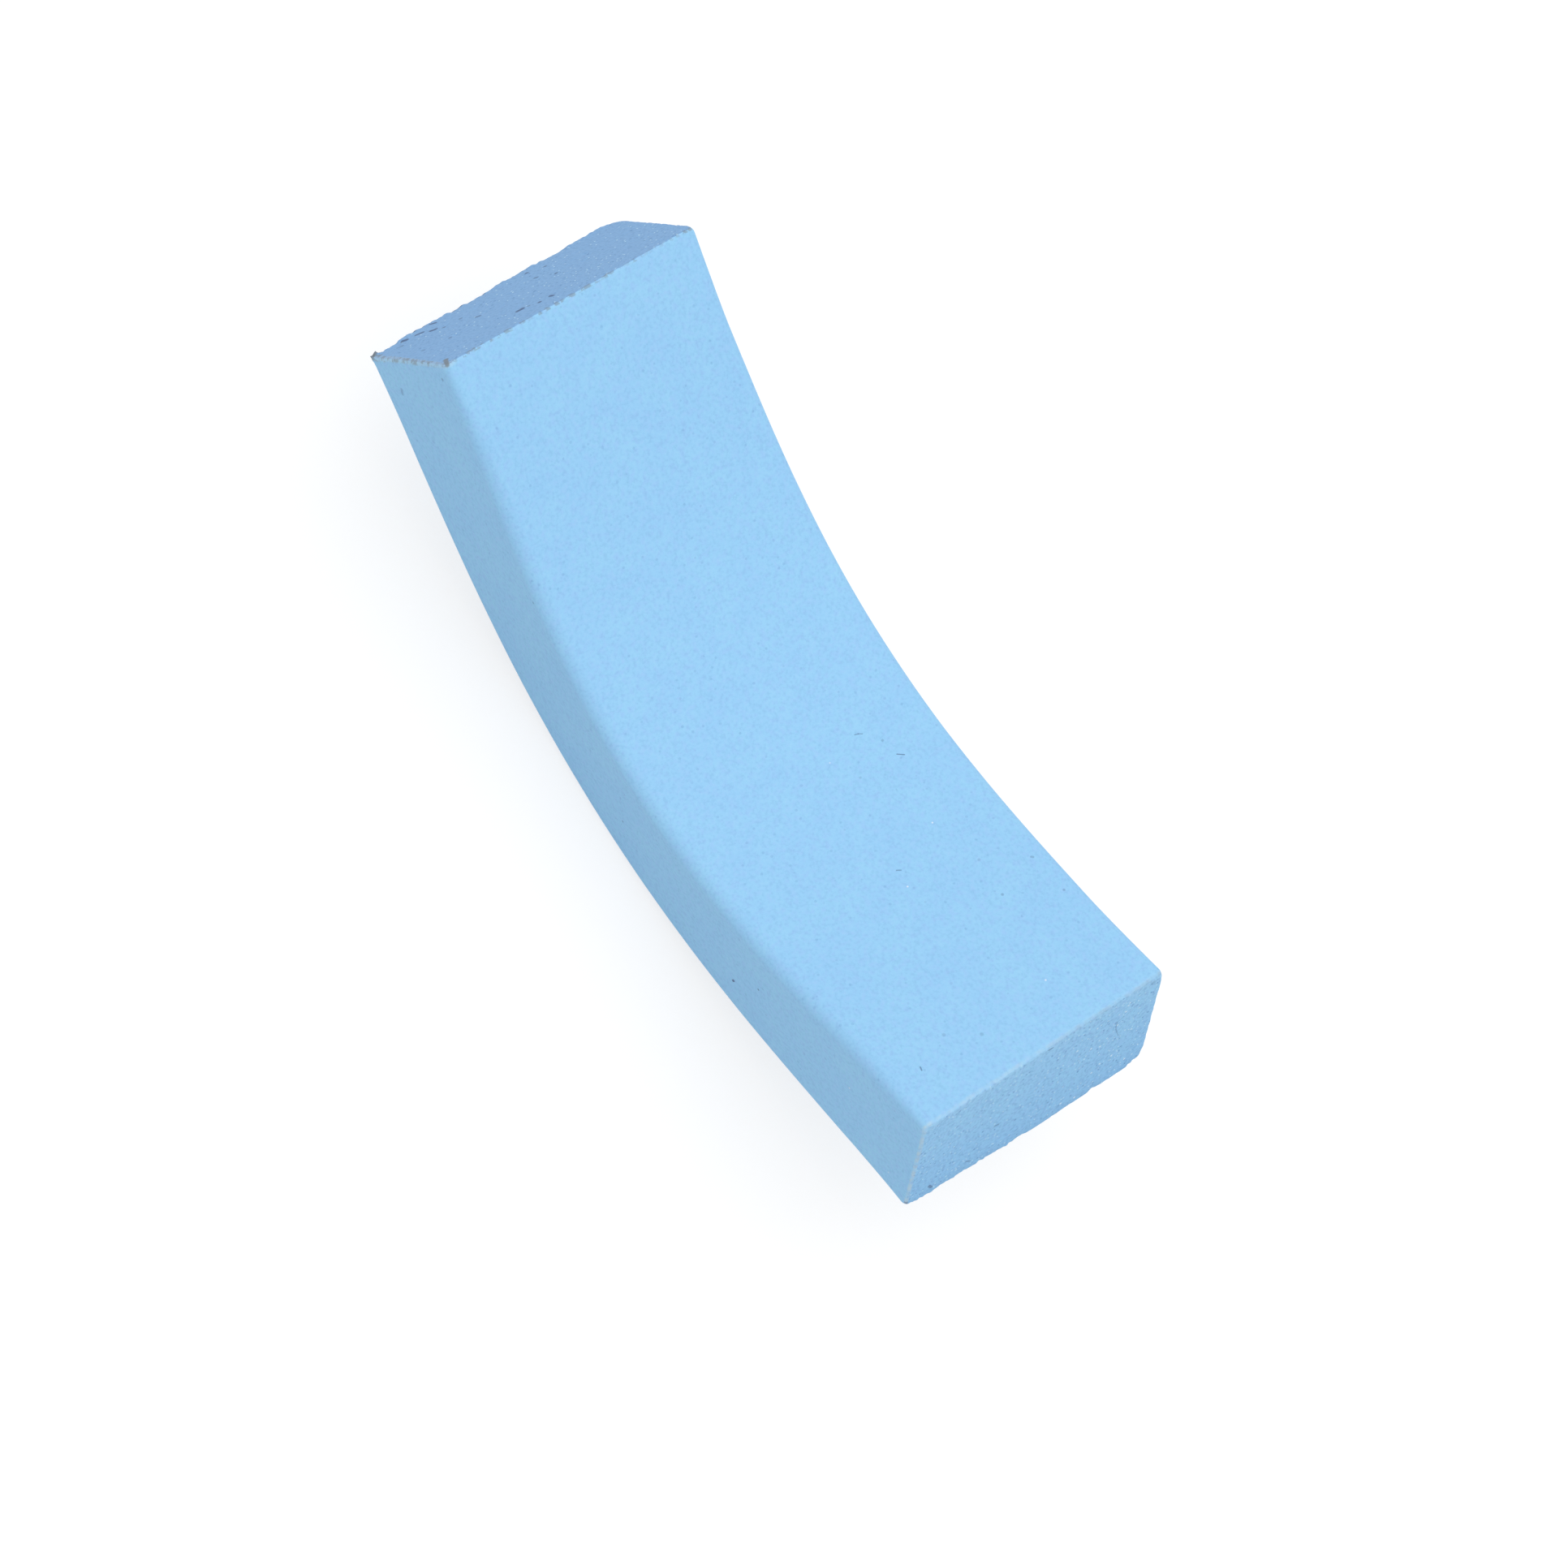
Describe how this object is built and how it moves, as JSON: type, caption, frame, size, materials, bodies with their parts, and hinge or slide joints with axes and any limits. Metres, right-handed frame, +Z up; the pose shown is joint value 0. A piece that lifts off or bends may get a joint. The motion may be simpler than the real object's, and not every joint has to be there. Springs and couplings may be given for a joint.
{
  "type": "cleaning eraser block",
  "caption": "Rectangular bar of flexible abrasive rubber with rounded long edges and square cut ends, bent into a shallow rocker; rubbed on a surface to clean it.",
  "frame": {"origin": "on the ground under the middle of the block, which lies on its bulging broad face with both ends raised", "axes": "+X along the block's length, +Y across its width, +Z up, out of the hollow broad face"},
  "size_m": [0.0812, 0.0258, 0.0244],
  "materials": {
    "rubber": "matte light-blue filled rubber, smooth moulded skin, granular cut ends"
  },
  "bodies": {
    "root": {"eraser_block": "rubber"}
  },
  "joints": []
}
